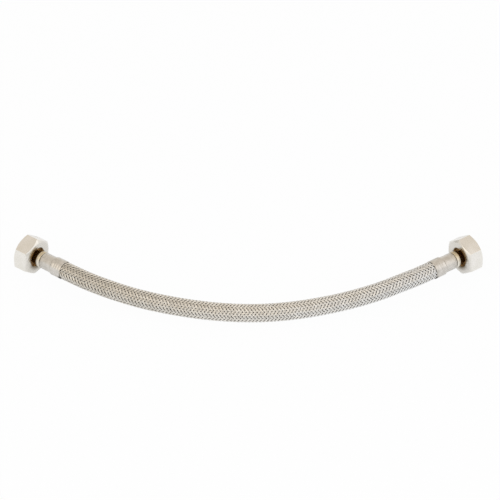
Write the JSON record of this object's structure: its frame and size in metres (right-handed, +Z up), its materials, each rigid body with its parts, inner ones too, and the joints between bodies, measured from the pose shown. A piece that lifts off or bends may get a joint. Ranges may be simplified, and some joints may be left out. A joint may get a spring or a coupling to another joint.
{
  "type": "braided supply line",
  "caption": "Short flexible water hose in a woven steel braid, bowed in a shallow arc, with a crimped ferrule and a loose hexagon union nut at each end.",
  "frame": {"origin": "the middle of the footprint, on the surface that the hose lies on", "axes": "+X from the left nut to the right nut, +Z up; the hose bows towards -Y"},
  "size_m": [0.3238, 0.0767, 0.0275],
  "materials": {
    "hose_rubber": "matte",
    "steel_braid": "woven bright wire",
    "brass": "turned",
    "steel_ferrule": "satin",
    "gasket_rubber": "matte",
    "nickel_plate": "satin nickel"
  },
  "bodies": {
    "hose": {"inner_hose": "hose_rubber", "braid_sleeve": "steel_braid", "left_nipple": "brass", "left_ferrule": "steel_ferrule", "right_nipple": "brass", "right_ferrule": "steel_ferrule"},
    "left_gasket": {"left_gasket": "gasket_rubber"},
    "left_nut": {"left_union_nut": "nickel_plate"},
    "right_gasket": {"right_gasket": "gasket_rubber"},
    "right_nut": {"right_union_nut": "nickel_plate"}
  },
  "joints": [
    {"name": "left_nut_turn", "type": "hinge", "parent": "hose", "child": "left_gasket", "pos_m": [-0.1489, 0.02452, 0.01375], "axis": [0.7837, -0.6211, 0], "continuous": true},
    {"name": "left_nut_slide", "type": "slide", "parent": "left_gasket", "child": "left_nut", "axis": [0.7837, -0.6211, 0], "range_m": [0, 0.018]},
    {"name": "right_nut_turn", "type": "hinge", "parent": "hose", "child": "right_gasket", "pos_m": [0.14899, 0.02419, 0.01375], "axis": [-0.7944, -0.6074, 0], "continuous": true},
    {"name": "right_nut_slide", "type": "slide", "parent": "right_gasket", "child": "right_nut", "axis": [-0.7944, -0.6074, 0], "range_m": [0, 0.018]}
  ]
}
